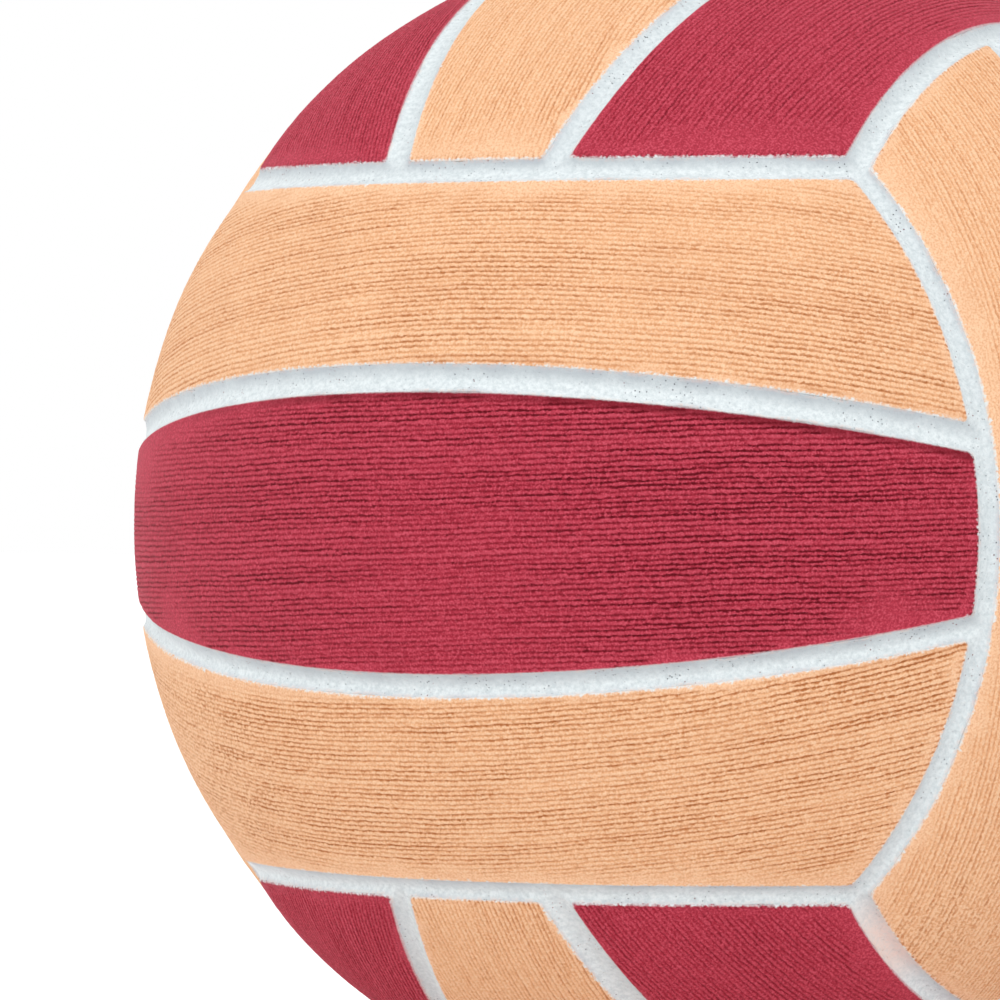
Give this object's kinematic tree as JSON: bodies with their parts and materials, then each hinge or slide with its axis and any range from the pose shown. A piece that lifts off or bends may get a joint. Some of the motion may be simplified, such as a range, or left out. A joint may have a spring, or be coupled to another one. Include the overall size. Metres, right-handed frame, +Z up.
{
  "type": "water polo ball",
  "caption": "Inflated rubber water polo ball with ribbed grip panels, recessed white seam channels, wound inner layers and a self-closing needle valve.",
  "frame": {"origin": "centre of the ball", "axes": "+Z up with the top face's strips running along Y, -Y the axis of the front face, +Y the axis of the back face, which holds the valve"},
  "size_m": [0.21, 0.2098, 0.21],
  "materials": {
    "peach_grip": "matte ribbed grip rubber, pale orange",
    "crimson_grip": "matte ribbed grip rubber, crimson",
    "white_carcass": "painted white rubber, satin",
    "nylon_winding": "nylon thread set in rubber cement",
    "bladder_rubber": "smooth black butyl",
    "valve_rubber": "moulded black rubber",
    "valve_core": "soft moulded rubber"
  },
  "bodies": {
    "ball": {"panel_front_upper": "peach_grip", "panel_front_middle": "crimson_grip", "panel_front_lower": "peach_grip", "panel_back_upper": "peach_grip", "panel_back_middle": "crimson_grip", "panel_back_lower": "peach_grip", "panel_top_left": "crimson_grip", "panel_top_middle": "peach_grip", "panel_top_right": "crimson_grip", "panel_bottom_right": "crimson_grip", "panel_bottom_middle": "peach_grip", "panel_bottom_left": "crimson_grip", "panel_right_front": "peach_grip", "panel_right_middle": "crimson_grip", "panel_right_back": "peach_grip", "panel_left_back": "peach_grip", "panel_left_middle": "crimson_grip", "panel_left_front": "peach_grip", "ribbed_carcass": "white_carcass", "nylon_winding": "nylon_winding", "bladder": "bladder_rubber", "valve_housing": "valve_rubber"},
    "valve_core": {"valve_core": "valve_core"}
  },
  "joints": [
    {"name": "valve_core_pull", "type": "slide", "parent": "ball", "child": "valve_core", "axis": [0, 1, 0], "range_m": [0, 0.018]}
  ]
}
